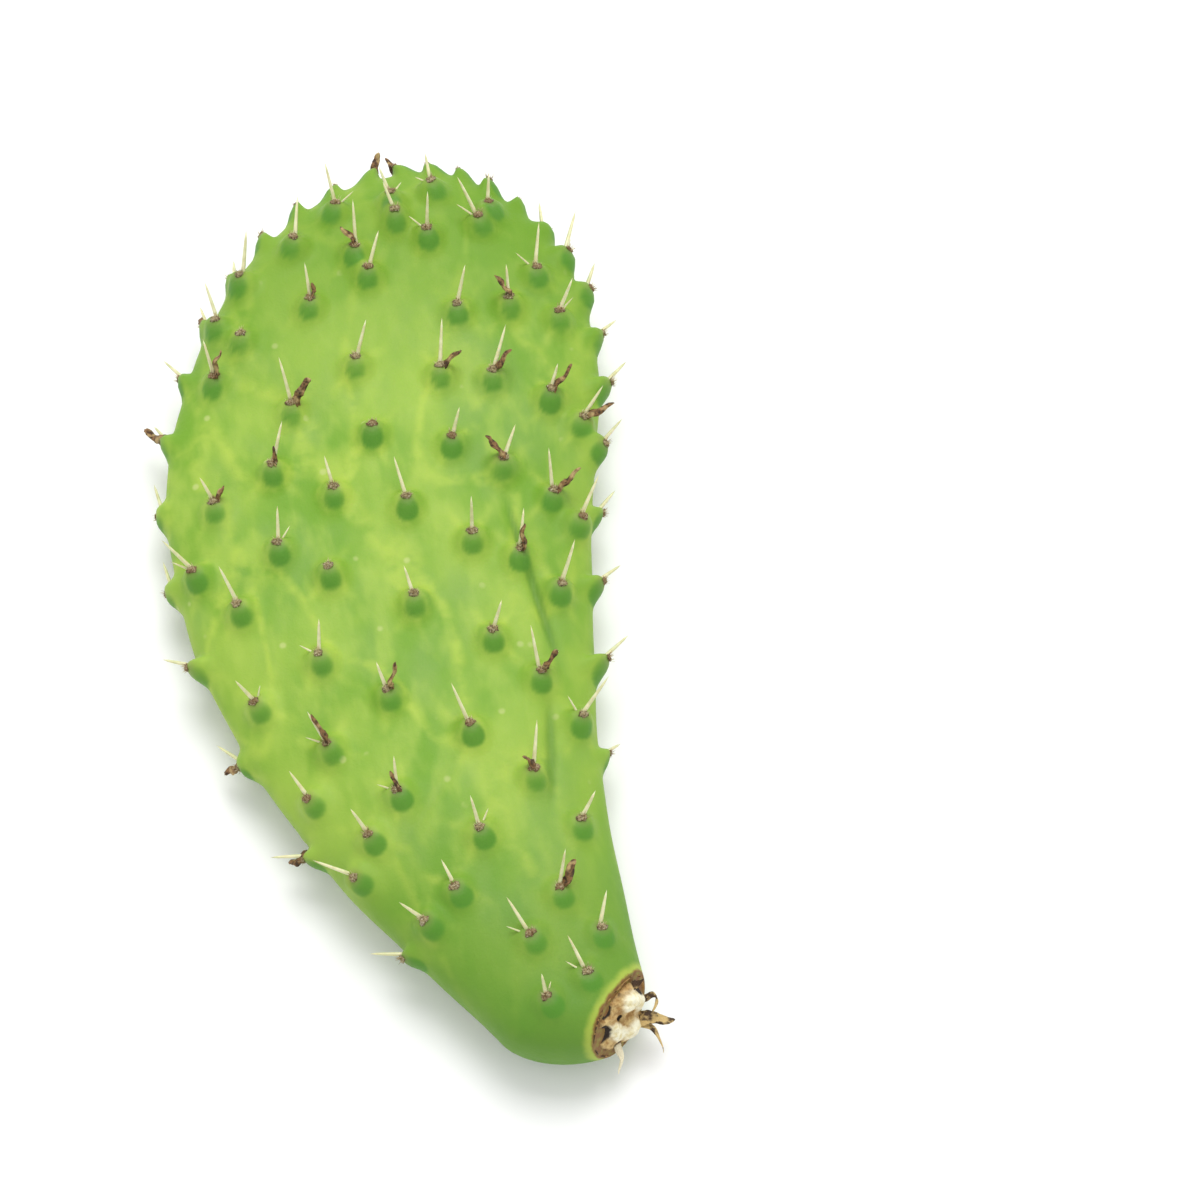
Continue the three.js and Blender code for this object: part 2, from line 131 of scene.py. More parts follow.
# Tubercles: height, the reach of each toward its sides, its lean as a share of its height, and the
# height along the pad below which they sink into it
TUBERCLE = 3.4
REACH_TO_BASE = 4.4
REACH_TO_TIP = 2.9
REACH_ACROSS = 3.4
REACH_IN = 6.0
TUBERCLE_LEAN = 0.25
FLAT_BELOW = 90.0
LEAST_TUBERCLE = 0.4
MARGIN_REACH = 0.68  # share of those reaches along the margin, where the tubercles are teeth
MARGIN_TOOTH_LEAN = 0.6
STEEPER = 1.4  # power on a tubercle's squared reach: a firmer shoulder than a bell's

# The pale arms that run out from under an areole: slant from the section toward the tip, distance
# of their middles from the areole, half length and half width
ARM_SLANT = 0.95
ARM_FROM = 5.2
ARM_HALF_LONG = 3.6
ARM_HALF_WIDE = 1.2

# The bare spot under an areole, and the painted shade on the tubercle's base-side slope, partly its own
# darker green
BARE_RADIUS = 1.9
CAP_TO_BASE = 2.2
CAP_HALF_LONG = 2.5
CAP_HALF_WIDE = 2.7
CAP_FADES = 0.13  # for each millimetre toward the tip

# The tear across the base
TEAR_CENTRE = np.array([7.1, 7.7, 14.9])
SPINELESS_NEAR_TEAR = 2.0  # nearest to it that an areole stands


def unit(vectors):
    """Each vector over its own length."""
    return vectors / np.linalg.norm(vectors, axis=-1, keepdims=True)


TEAR_NORMAL = unit(np.array([0.7, -0.64, 0.31]))


def draw(key, salt):
    """A repeatable draw from 0 to 1: the fraction of a large multiple of a sine of the key."""
    wave = np.sin(key * 12.9898 + salt * 78.233) * 43758.5453
    return wave - np.floor(wave)


def rounding(distance, reach):
    """Quarter ellipse: 0 at an end, 1 from reach on."""
    return np.sqrt(np.clip(1 - (np.maximum(reach - distance, 0) / reach) ** 2, 0, None))


def half_width(y):
    """A quarter ellipse from the widest place to the tip; toward the base a share is lost that
    grows as a power of the distance, with a small rounding at the very end."""
    lost = TAPER * (np.clip(WIDEST_AT - y, 0, None) / WIDEST_AT) ** TAPER_POWER
    toward_base = HALF_WIDTH * (1 - lost) * rounding(y, BASE_ROUND)
    return np.where(y > WIDEST_AT, HALF_WIDTH * rounding(LENGTH - y, LENGTH - WIDEST_AT), toward_base)


def middle(y):
    """Sideways swing of the middle line: one, two and three half sine waves over the length."""
    return sum(swing * np.sin((wave + 1) * np.pi * y / LENGTH) for wave, swing in enumerate(BOW))


def thinning(y):
    """What the half thickness loses toward the tip: a parabola from THINS_FROM on."""
    return TIP_THINNING * (np.clip(y / LENGTH - THINS_FROM, 0, None) / (1 - THINS_FROM)) ** 2


def half_thick(y):
    """The half thickness less its thinning, rounded off at both ends."""
    return (HALF_THICK - thinning(y)) * rounding(LENGTH - y, TIP_ROUND) * rounding(y, THICK_BASE_ROUND)


def mid_height(y):
    """Height of the middle plane: lower where the pad thins, and lifted toward the tip."""
    return MID_HEIGHT - THINNED_ABOVE * thinning(y) + TIP_LIFT * (y / LENGTH) ** 3


def smooth_skin(y, phi):
    """Point of the pad without relief: a superellipse round the middle line, at y along the pad
    and phi round it, from the right margin over the upper face."""
    y, phi = np.broadcast_arrays(np.asarray(y, float), phi)
    waves = np.cos(phi), np.sin(phi)
    sideways, upward = (np.sign(wave) * np.abs(wave) ** (2 / SECTION_POWER) for wave in waves)
    x = middle(y) + half_width(y) * sideways
    return np.stack([x, y, mid_height(y) + half_thick(y) * upward], axis=-1)


ANGLE_STEP = 0.02
LENGTH_STEP = 0.5
FROM_END = 0.3  # nearest to either end that the differences are taken


def directions(y, phi):
    """Along the skin toward the tip, across it and out of it, by small differences of the smooth
    skin, made square to each other."""
    y = np.asarray(y, float)
    across = unit(smooth_skin(y, phi + ANGLE_STEP) - smooth_skin(y, phi - ANGLE_STEP))
    low = np.maximum(y - LENGTH_STEP, FROM_END)
    high = np.minimum(y + LENGTH_STEP, LENGTH - FROM_END)
    along = unit(smooth_skin(high, phi) - smooth_skin(low, phi))
    out = -unit(np.cross(across, along))
    along = unit(along - out * (along * out).sum(-1, keepdims=True))
    return along, np.cross(along, out), out


def row_places():
    """The rows' areoles with their leaf, each a little off its even place. A row climbs with the
    angle, by less toward the tip: one less the cube of its height over LEVEL_FROM."""
    places = []
    for height, first, step, count, leafy, missing in ROWS:
        climb = CLIMB * max(1 - (height / LEVEL_FROM) ** 3, 0)
        for number in range(count):
            degrees = first + step * number + ANGLE_SCATTER * (draw(height + number, 31) - 0.5)
            y = height + climb * (degrees - 90) + ROW_SCATTER * (draw(height + number, 32) - 0.5)
            if number not in missing:
                places.append((y, np.radians(degrees), number in leafy))
    return places


def place_areoles():
    """The rows on the upper face, both margins, and the rows again on the underside, half a turn
    round and dropped, less what the tear took or what crowds another. Gives y, phi, leafy and
    seat."""
    found = []

    def add(y, phi, leafy):
        """Keeps an areole that stands clear of the tear and of the others."""
        seat = smooth_skin(y, phi)
        beyond_tear = (seat - TEAR_CENTRE) @ TEAR_NORMAL > -SPINELESS_NEAR_TEAR
        crowded = any(np.linalg.norm(other[3] - seat) < LEAST_SPACING for other in found)
        if not (beyond_tear or crowded):
            found.append((y, phi, leafy, seat))

    face = row_places()
    for y, phi, holds_leaf in face:
        add(y, phi, holds_leaf)
    for turn, step, count, leafy in TEETH:
        for number in range(count):
            y = LENGTH * (1 - (TIP_TOOTH + step * number) ** 2)
            add(y, turn + MARGIN_SCATTER * (draw(len(found), 2) - 0.5), number in leafy)
    for upper, phi, _ in face:
        y = upper - UNDERSIDE_DROP + UNDERSIDE_SCATTER * (draw(len(found), 3) - 0.5)
        if y > UNDERSIDE_FROM:
            add(y, phi - np.pi, False)
    return [np.array(column) for column in zip(*found)]


areole_y, areole_phi, leafy, seats = place_areoles()
keys = np.arange(1, len(seats) + 1)
seat_along, seat_across, seat_out = directions(areole_y, areole_phi)
settled = np.minimum(areole_y / FLAT_BELOW, 1)
on_margin = np.abs(seat_out[:, 2]) < MARGIN_FACING
along_reach = np.where(on_margin, MARGIN_REACH, 1.0)
leans = np.where(on_margin, MARGIN_TOOTH_LEAN, TUBERCLE_LEAN)
tubercle_heights = TUBERCLE * (LEAST_TUBERCLE + (1 - LEAST_TUBERCLE) * settled)
tubercle_heights = tubercle_heights * (0.85 + 0.3 * draw(keys, 1))


def tubercle_fields(points):
    """For each point, summed over the areoles: the tubercles' height (a bell of the squared
    reaches to a power, longer to the base side) and their lean (a share of it), a mask of the
    areole itself, one of the painted shade on the tubercle's base-side slope, partly its own darker
    green (a flat-topped bell, darker away from the areole), and one of the four pale arms that run
    slantwise from each areole, drawn strong or faint (narrow bells along a slanting line)."""
    height, lean, bare, cap, arms = (np.zeros(points.shape[:-1]) for _ in range(5))
    for key, seat, along, across, out, tall, narrow, leaning in zip(
            keys, seats, seat_along, seat_across, seat_out, tubercle_heights, along_reach, leans):
        gap = points - seat
        u, v, w = gap @ along, gap @ across, gap @ out
        deep = (w / REACH_IN) ** 2
        reach = np.where(u > 0, REACH_TO_TIP, REACH_TO_BASE) * narrow
        bell = np.exp(-((u / reach) ** 2 + (v / REACH_ACROSS) ** 2 + deep) ** STEEPER)
        height += tall * bell
        lean += leaning * tall * bell
        bare += np.exp(-((u**2 + v**2) / BARE_RADIUS**2 + deep) ** 2)
        # Painted shade on the tubercle's base-side slope, partly its own darker green: darkest toward the
        # base
        dark = (0.6 + 0.4 * draw(key, 50)) * np.clip(0.5 - CAP_FADES * u, 0, 1)
        offset = ((u + CAP_TO_BASE) / CAP_HALF_LONG) ** 2 + (v / CAP_HALF_WIDE) ** 2
        cap += dark * np.exp(-(offset + deep) ** 3)
        for number, (to_tip, to_right) in enumerate(((1, 1), (1, -1), (-1, 1), (-1, -1))):
            slanted = ARM_SLANT + 0.5 * (draw(key, 30 + number) - 0.5)
            forward = to_tip * u * np.sin(slanted) + to_right * v * np.cos(slanted) - ARM_FROM
            aside = to_tip * u * np.cos(slanted) - to_right * v * np.sin(slanted)
            line = (forward / ARM_HALF_LONG) ** 2 + (aside / ARM_HALF_WIDE) ** 2 + deep
            arms += draw(key, 40 + number) * np.exp(-line)
    return height, lean, *(np.minimum(mask, 1) for mask in (bare, cap, arms))


# Creases on the right of the upper face: where each crosses, its slant, half length, width, depth
CREASES = (
    (10.5, 109, 0.07, 21, 1.3, 1.1),
    (5.5, 68, -0.2, 13, 1.6, 0.9),
    (-24, 60, -0.9, 12, 2.2, 0.4),
)


def furrows(points):
    """Depth of the creases: bells across a slanting line, faded out along it by a steeper bell,
    on the upper side only."""
    x, y, z = np.moveaxis(points, -1, 0)
    upper = 1 / (1 + np.exp(-(z - MID_HEIGHT) / 1.5))
    depth = np.zeros_like(x)
    for line_x, line_y, slant, half_long, wide, deep in CREASES:
        offset = (x - line_x + slant * (y - line_y)) / wide
        depth += deep * np.exp(-(offset**2) - ((y - line_y) / half_long) ** 4)
    return depth * upper


# Waves of the flesh: height, and radians for each millimetre along x, y and z
WAVES = (
    (0.22, 0.11, 0.06, 0.0),
    (0.22, -0.05, 0.08, 0.02),
    (0.15, 0.2, -0.14, 0.17),
    (0.1, 0.15, 0.23, 0.0),
)


def swelling(points):
    """Broad unevenness of the flesh: crossing sine waves, each with a phase of its own."""
    return sum(high * np.sin(points @ np.array(pace) + 1.3 * number)
               for number, (high, *pace) in enumerate(WAVES))


DIMPLE = 0.35  # depth of the hollow at an areole
FLATTENED = 0.12  # height over which the flesh is pressed flat on the table
SMOOTH_ENDS = 12.0  # length at either end over which the swelling fades


def raised_skin(y, phi):
    """The smooth skin moved out by the tubercles and the swelling, less the furrows and a dimple
    at each areole, and moved toward the tip by the tubercles' lean. Heights below the table are
    pressed flat on it by a soft step, the logarithm of one more than an exponential. Gives the
    points and the masks."""
    points = smooth_skin(y, phi)
    height, lean, bare, cap, arms = tubercle_fields(points)
    along, _, out = directions(y, phi)
    ends = rounding(y, SMOOTH_ENDS) * rounding(LENGTH - y, SMOOTH_ENDS)
    lift = height + (swelling(points) - furrows(points)) * ends - DIMPLE * bare
    raised = points + out * lift[..., None] + along * lean[..., None]
    raised[..., 2] = np.log1p(np.exp(raised[..., 2] / FLATTENED)) * FLATTENED
    return raised, (bare, cap, arms)


def closed_tube(rings, around):
    """Triangles of a tube of rings with a pole at each end, for rings * around points and then
    the pole before the first ring and the pole after the last."""
    ring, knot = np.meshgrid(np.arange(rings - 1), np.arange(around), indexing="ij")
    a, b = ring * around + knot, ring * around + (knot + 1) % around
    walls = np.stack([a, b, a + around, b, b + around, a + around], axis=-1).reshape(-1, 3)
    first = np.arange(around)
    after = (first + 1) % around
    start, end = rings * around, rings * around + 1
    last = (rings - 1) * around
    caps = [np.stack([np.full(around, start), after, first], axis=-1),
            np.stack([np.full(around, end), last + first, last + after], axis=-1)]
    return np.concatenate([walls, *caps])


def grown_piece(name, points, triangles, finish, **attributes):
    """A closed mesh from points in the pad's millimetres, its triangles turned outward where the
    volume they enclose, a sixth of the sum of their triple products, comes out negative."""
    points = points.reshape(-1, 3) - PAD_CENTRE
    a, b, c = (points[triangles[:, corner]] for corner in range(3))
    if (a * np.cross(b, c)).sum() < 0:
        triangles = triangles[:, ::-1]
    mesh = bpy.data.meshes.new(name)
    mesh.vertices.add(len(points))
    mesh.vertices.foreach_set("co", (points * MM).astype(np.float32).ravel())
    mesh.loops.add(triangles.size)
    mesh.loops.foreach_set("vertex_index", triangles.astype(np.int32).ravel())
    mesh.polygons.add(len(triangles))
    mesh.polygons.foreach_set("loop_start", np.arange(0, triangles.size, 3, dtype=np.int32))
    mesh.update(calc_edges=True)
    mesh.shade_smooth()
    for attribute, values in attributes.items():
        layer = mesh.attributes.new(attribute, "FLOAT", "POINT")
        layer.data.foreach_set("value", np.asarray(values).astype(np.float32).ravel())
    mesh.materials.append(finish)
    piece = bpy.data.objects.new(name, mesh)
    bpy.context.scene.collection.objects.link(piece)
    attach(piece, "root")
    return piece


class Wire:
    """A shader socket in a Python expression, or with no socket the start of its node tree. The
    operators add Math nodes."""

    def __init__(self, tree, socket=None):
        self.tree = tree
        self.socket = socket

    def node(self, kind, settings, inputs, output=0):
        """Any node: its settings come first, then its sockets."""
        made = self.tree.nodes.new(kind)
        for name, setting in settings.items():
            setattr(made, name, setting)
        for key, value in inputs.items():
            if isinstance(value, Wire):
                self.tree.links.new(value.socket, made.inputs[key])
            else:
                made.inputs[key].default_value = value
        return Wire(self.tree, made.outputs[output] if made.outputs else None)

    def maths(self, operation, first, second):
        """One Math node."""
        return self.node("ShaderNodeMath", {"operation": operation}, {0: first, 1: second})

    def __add__(self, other):
        return self.maths("ADD", self, other)

    __radd__ = __add__

    def __mul__(self, other):
        return self.maths("MULTIPLY", self, other)

    __rmul__ = __mul__

    def __sub__(self, other):
        return self.maths("SUBTRACT", self, other)

    def __rsub__(self, other):
        return self.maths("SUBTRACT", other, self)

    def __pow__(self, power):
        return self.maths("POWER", self, power)

    def ridge(self, reach):
        """1 where this noise crosses its middle value, falling to 0 a reach away from it."""
        away = self.node("ShaderNodeMath", {"operation": "ABSOLUTE"}, {0: self - 0.5})
        return 1 - away.step(0.0, reach)

    def step(self, low, high):
        """0 below low, 1 above high and a smooth climb between."""
        settings = {"interpolation_type": "SMOOTHSTEP"}
        return self.node("ShaderNodeMapRange", settings, {0: self, 1: low, 2: high})

    def between(self, first, second):
        """The first colour where this mask is 0 and the second where it is 1."""
        return self.node("ShaderNodeMix", {"data_type": "RGBA"}, {0: self, 6: first, 7: second}, 2)

    def attribute(self, name):
        """A value kept on the piece's points."""
        return self.node("ShaderNodeAttribute", {"attribute_name": name}, {}, "Fac")

    def place(self, stretch=(1, 1, 1), shift=(0, 0, 0)):
        """The object's own coordinates, stretched and shifted."""
        here = self.node("ShaderNodeTexCoord", {}, {}, "Object")
        return self.node("ShaderNodeMapping", {}, {"Vector": here, "Scale": stretch, "Location": shift})

    def noise(self, size, detail=2.0, **where):
        """Cloudy noise whose patches are about size millimetres across, from 0 to 1."""
        inputs = {"Vector": self.place(**where), "Scale": 1 / (size * MM), "Detail": detail}
        return self.node("ShaderNodeTexNoise", {}, inputs)

    def spots(self, size, **where):
        """Distance from the middle of the nearest of many scattered cells, in cell sizes."""
        inputs = {"Vector": self.place(**where), "Scale": 1 / (size * MM)}
        return self.node("ShaderNodeTexVoronoi", {}, inputs, "Distance")

    def bump(self, height, depth):
        """The surface normal for a relief of that many millimetres."""
        return self.node("ShaderNodeBump", {}, {"Height": height, "Distance": depth * MM})


def colour(red, green, blue):
    """A display colour, 0 to 255, as the linear colour that shaders take."""
    share = np.array([red, green, blue]) / 255
    linear = np.where(share > 0.04045, ((share + 0.055) / 1.055) ** 2.4, share / 12.92)
    return (*linear.tolist(), 1.0)


def finish_of(name, constants, paint=None):
    """A Principled finish: constants go on its own sockets, and paint gives what varies."""
    made = bpy.data.materials.new(name)
    made.use_nodes = True
    made.node_tree.nodes.clear()
    start = Wire(made.node_tree)
    varying = paint(start) if paint else {}
    shader = start.node("ShaderNodeBsdfPrincipled", {}, {**constants, **varying})
    start.node("ShaderNodeOutputMaterial", {}, {"Surface": shader})
    return made


def paint_skin(start):
    """Two greens in clouds that stretch along the pad, greyer patches, pale slanting arms and
    flecks, a darker green toward the tip and at the base, painted shade on the right side and in
    the creases, painted shade on each tubercle's base-side slope that is partly its own darker
    green, and a bright lip that browns at the tear."""
    along, near_tear = start.attribute("along"), start.attribute("near_tear")
    cap, arms = start.attribute("cap"), start.attribute("arms")
    clouds = start.noise(24, 3.0, stretch=(1.0, 0.6, 1.0))
    green = clouds.step(0.38, 0.62).between(colour(114, 159, 46), colour(146, 179, 68))
    grey = start.noise(13, 2.0, stretch=(1.0, 0.6, 1.0), shift=(0.7, 0.2, 0.4))
    green = (grey.step(0.46, 0.74) * 0.6).between(green, colour(126, 162, 78))
    streaks = start.noise(5, 2.0, stretch=(1.0, 0.45, 1.0), shift=(0.1, 0.6, 0.2))
    green = (streaks.step(0.4, 0.76) * 0.65).between(green, colour(160, 188, 78))
    broken = start.noise(5, 2.0).step(0.26, 0.66)
    green = (arms * broken * 0.9 * (1 - cap)).between(green, colour(172, 196, 80))
    seam = start.noise(17, 0.0, stretch=(1.0, 0.5, 1.0), shift=(0.3, 0.1, 0.0))
    green = (seam.ridge(0.07) * broken * 0.75 * (1 - cap)).between(green, colour(168, 193, 76))
    flecks = 1 - start.spots(7.5).step(0.06, 0.15)
    green = (flecks * start.noise(6, 0.0).step(0.45, 0.6) * 0.6).between(green, colour(190, 200, 128))
    green = (start.attribute("rim") * 0.6).between(green, colour(154, 186, 68))
    # A darker green toward the tip, and painted shade on the right side, where the face slopes down to the
    # margin
    tip_green_and_right_shade = along.step(0.7, 0.92) * 0.6 + start.attribute("right") * 0.4
    green = tip_green_and_right_shade.between(green, colour(104, 148, 36))
    base = 1 - (along + 0.12 * start.noise(20, 1.0)).step(0.04, 0.4)
    green = (base * 0.85).between(green, colour(82, 131, 38))
    # Painted shade in the creases
    green = (start.attribute("crease").step(0.2, 1.0) * 0.6).between(green, colour(78, 126, 40))
    # Painted shade on each tubercle's base-side slope, partly its own darker green
    green = (cap.step(0.08, 0.7) * 0.88).between(green, colour(80, 136, 40))
    green = (start.attribute("bare") * 0.4).between(green, colour(130, 132, 82))
    lip = (near_tear + 1.2 * start.noise(3, 2.0)).step(-1.4, 0.1)
    green = lip.between(green, colour(158, 178, 70))
    brown = (near_tear + 0.8 * start.noise(1.5, 2.0)).step(-0.1, 0.5)
    green = brown.between(green, colour(128, 92, 50))
    return {
        "Base Color": green,
        "Roughness": 0.46 + 0.16 * start.noise(3, 2.0),
        "Normal": start.bump(start.noise(0.6, 3.0) * 0.5 + start.noise(2.6, 2.0), 0.13),
    }


RINGS_AT_BASE = 22
RINGS_ALONG = 190
RINGS_AT_TIP = 80
AROUND = 304
CROWDED = 0.25  # radians that the lengthwise lines are drawn from the margins onto the faces


def ring_heights():
    """Heights of the skin's rings: by angle on the base's arc, even along the taper, and by angle
    again from the widest place to the tip."""
    at_base = BASE_ROUND * (1 - np.cos(np.arange(1, RINGS_AT_BASE + 1) / RINGS_AT_BASE * np.pi / 2))
    along = BASE_ROUND + (WIDEST_AT - BASE_ROUND) * np.arange(1, RINGS_ALONG + 1) / RINGS_ALONG
    at_tip = WIDEST_AT + (LENGTH - WIDEST_AT) * np.sin(np.arange(1, RINGS_AT_TIP) / RINGS_AT_TIP * np.pi / 2)
    return np.concatenate([at_base, along, at_tip])


def torn_off(piece):
    """Cuts what lies beyond the tear from a piece, and closes the cut with a fan."""
    cut = bmesh.new()
    cut.from_mesh(piece.data)
    where = Vector((TEAR_CENTRE - PAD_CENTRE) * MM)
    everything = [*cut.verts, *cut.edges, *cut.faces]
    bmesh.ops.bisect_plane(cut, geom=everything, plane_co=where, plane_no=Vector(TEAR_NORMAL),
                           clear_outer=True)
    rim = [edge for edge in cut.edges if edge.is_boundary]
    for edge in rim:
        edge.smooth = False
    closing = bmesh.ops.holes_fill(cut, edges=rim, sides=0)["faces"]
    bmesh.ops.poke(cut, faces=closing)
    cut.to_mesh(piece.data)
    cut.free()


def pad_skin():
    """The raised skin on a grid of rings, with a pole at either end of the middle line, cut off at
    the tear. Powers of the cosine round the section mark its left and right sides."""
    heights = ring_heights()
    turn = np.arange(AROUND) / AROUND
    phi = 2 * np.pi * turn + CROWDED * np.sin(4 * np.pi * turn)
    y, phi = np.meshgrid(heights, phi, indexing="ij")
    raised, masks = raised_skin(y, phi)
    poles = np.array([[middle(end), end, mid_height(end)] for end in (0.0, LENGTH)])
    points = np.concatenate([raised.reshape(-1, 3), poles])
    bare, cap, arms = (np.append(mask.ravel(), [0, 0]) for mask in masks)
    left = np.clip(-np.cos(phi), 0, None) ** 4 * np.clip(1.2 - y / 110, 0, 1)
    # right: the right side, which the skin's paint darkens as painted shade
    right = np.clip(np.cos(phi), 0, None) ** 2
    skin = grown_piece(
        "pad_skin", points, closed_tube(len(heights), AROUND),
        finish_of("waxy_skin", {"Subsurface Weight": 0.15, "Subsurface Radius": (0.6, 1.0, 0.25),
                                "Subsurface Scale": 0.003, "IOR": 1.42,
                                "Specular IOR Level": 0.3}, paint_skin),
        bare=bare, cap=cap, arms=arms,
        rim=np.append(left.ravel(), [0, 0]),
        right=np.append(right.ravel(), [0, 0]),
        along=points[:, 1] / LENGTH,
        crease=furrows(points),
        # the furrows' depth, which paints shade into the creases
        near_tear=(points - TEAR_CENTRE) @ TEAR_NORMAL,
    )
    torn_off(skin)
    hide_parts("pad")


pad_skin()

# -------------------------------------------------------------------------------------------------
# Spines
# One or two ivory spines stand in most areoles, hard and smooth, straight or slightly curved,
# and lean toward the tip. They grow out of the tubercle's flesh.
SHORTEST_SPINE = 5.5  # out of the flesh, as is the longest
LONGEST_SPINE = 10.5
SPINE_THICK = 1.1
SPINE_SUNK = 1.6
SPINE_LEAN = 0.75  # radians toward the tip
UNDERSIDE_LEAN = 1.3
MARGIN_SHORTER = 0.7  # share of the length on the margins
SPINELESS = (22, 28, 41)  # areoles of the upper face that have lost theirs
SPINELESS_TEETH_FROM = 205.0  # height on the margins
CLEAR_OF_TABLE = 0.3
SPINE_SIDES = 6
SPINE_RINGS = 6
SPINE_CURVE = 0.12  # twice the most that a heading turns sideways over its length
TWO_SPINED = 0.3  # share of the areoles with a second spine
SECOND_LENGTH = 0.55  # share of the first one's
SECOND_THICK = 0.7
SECOND_ASIDE = 0.9
SECOND_LEAN = 0.2  # more than the first one's

roots = raised_skin(areole_y, areole_phi)[0]


def heading(lean, sideways):
    """Out of the skin, leaned toward the tip by an angle, with a share of sideways."""
    lean, sideways = (np.broadcast_to(share, keys.shape)[:, None] for share in (lean, sideways))
    return unit(seat_out * np.cos(lean) + seat_along * np.sin(lean) + seat_across * sideways)


def kept_off_table(ways, starts, lengths):
    """Headings turned up where a straight spine would end nearer the table than its clearance."""
    ways = ways.copy()
    ways[:, 2] = np.maximum(ways[:, 2], (CLEAR_OF_TABLE + SPINE_THICK - starts[:, 2]) / lengths)
    return unit(ways)


def horns(starts, first, last, lengths, wide, thick, sides, rings, power=0.5, wrinkle=0.0):
    """Tapering horns, all at once. The heading of each turns evenly from its first to its last,
    the centre line is the running sum of the headings, and the section is an ellipse that shrinks
    as a power of what is left of the length, with lengthwise wrinkles as a sine round it."""
    share = np.arange(rings) / rings
    count = len(starts)
    wide, thick = (np.broadcast_to(size, count)[:, None, None] for size in (wide, thick))
    headings = unit(first[:, None] + (last - first)[:, None] * share[:, None])
    steps = headings * (lengths / rings)[:, None, None]
    centres = starts[:, None] + np.cumsum(steps, axis=1) - steps
    side = unit(np.cross(first, [0.3, 0.2, 1.0]))[:, None]
    up = unit(np.cross(headings, side))
    turn = 2 * np.pi * np.arange(sides) / sides
    size = (1 - share)[None, :, None] ** power / 2 * (1 + wrinkle * np.sin(5 * turn + 9 * share[:, None]))
    points = (centres[:, :, None] + (size * wide * np.cos(turn))[..., None] * side[:, :, None]
              + (size * thick * np.sin(turn))[..., None] * up[:, :, None])
    tips = starts + steps.sum(axis=1)
    knots = np.concatenate([points.reshape(count, -1, 3), starts[:, None], tips[:, None]], axis=1)
    pattern = closed_tube(rings, sides)
    triangles = pattern + (np.arange(count) * knots.shape[1])[:, None, None]
    return knots.reshape(-1, 3), triangles.reshape(-1, 3)


def paint_spine(start):
    """Ivory with faint clouds."""
    clouds = start.noise(2.0, 2.0)
    return {"Base Color": clouds.step(0.3, 0.7).between(colour(206, 206, 152), colour(228, 226, 182))}


def spines():
    """A long spine on every areole that has kept it, with a slight sideways curve, and on some of
    them a shorter one that leans aside."""
    below = seat_out[:, 2] < -MARGIN_FACING
    lean = np.where(below, UNDERSIDE_LEAN, SPINE_LEAN) + 0.5 * (draw(keys, 4) - 0.5)
    short = np.where(on_margin, MARGIN_SHORTER, 1.0)
    stands = SHORTEST_SPINE + (LONGEST_SPINE - SHORTEST_SPINE) * draw(keys, 5)
    lengths = stands * short + SPINE_SUNK
    starts = roots - seat_out * SPINE_SUNK
    ways = kept_off_table(heading(lean, 0.7 * (draw(keys, 6) - 0.5)), starts, lengths)
    curve = SPINE_CURVE * (draw(keys, 14) - 0.5)[:, None] * seat_across
    has = ~np.isin(keys, SPINELESS) & ~(on_margin & (areole_y > SPINELESS_TEETH_FROM))
    main = horns(starts[has], ways[has], unit(ways + curve)[has], lengths[has], SPINE_THICK, SPINE_THICK,
                 SPINE_SIDES, SPINE_RINGS, power=0.4)
    second = has & (draw(keys, 15) < TWO_SPINED) & ~below
    aside = np.where(draw(keys, 16) < 0.5, -SECOND_ASIDE, SECOND_ASIDE)
    shorter = SECOND_LENGTH * lengths
    others = kept_off_table(heading(lean + SECOND_LEAN, aside), starts, shorter)
    extra = horns(starts[second], others[second], others[second], shorter[second], SECOND_THICK,
                  SECOND_THICK, SPINE_SIDES, SPINE_RINGS)
    points = np.concatenate([main[0], extra[0]])
    piece = grown_piece("spines", points, np.concatenate([main[1], extra[1] + len(main[0])]),
                        finish_of("ivory_spine", {"Roughness": 0.35, "Subsurface Weight": 0.1,
                                                  "Subsurface Scale": 0.001}, paint_spine))
    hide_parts("pad")


spines()

# -------------------------------------------------------------------------------------------------
# Areole felt
# On each tubercle sits a small cushion of brown felt, which the spines grow out of. All but the
# undermost have a ring of glochids too, the short loose bristles of the plant.
FELT_ACROSS = 1.2  # half sizes of a cushion
FELT_ALONG = 0.85
FELT_HEIGHT = 0.5
FELT_SIDES = 12
FELT_RINGS = 5
BRISTLES = 22
BRISTLE_LENGTH = 1.5
BRISTLE_THICK = 0.17
BRISTLE_SIDES = 3
BRISTLE_RINGS = 2
OFF_TABLE = 0.02  # lowest that a cushion reaches


def paint_felt(start):
    """Dark brown, grey brown and cream in fine clouds, browner on some areoles."""
    felt = start.noise(0.5, 3.0).step(0.35, 0.6).between(colour(104, 86, 52), colour(166, 150, 110))
    cream = start.noise(0.4, 1.0, shift=(0.2, 0.1, 0.3)).step(0.55, 0.7) * 0.7
    felt = cream.between(felt, colour(216, 208, 176))
    rust = start.noise(22, 0.0).step(0.45, 0.6) * 0.4
    return {"Base Color": rust.between(felt, colour(120, 74, 42)),
            "Normal": start.bump(start.noise(0.25, 2.0), 0.4)}


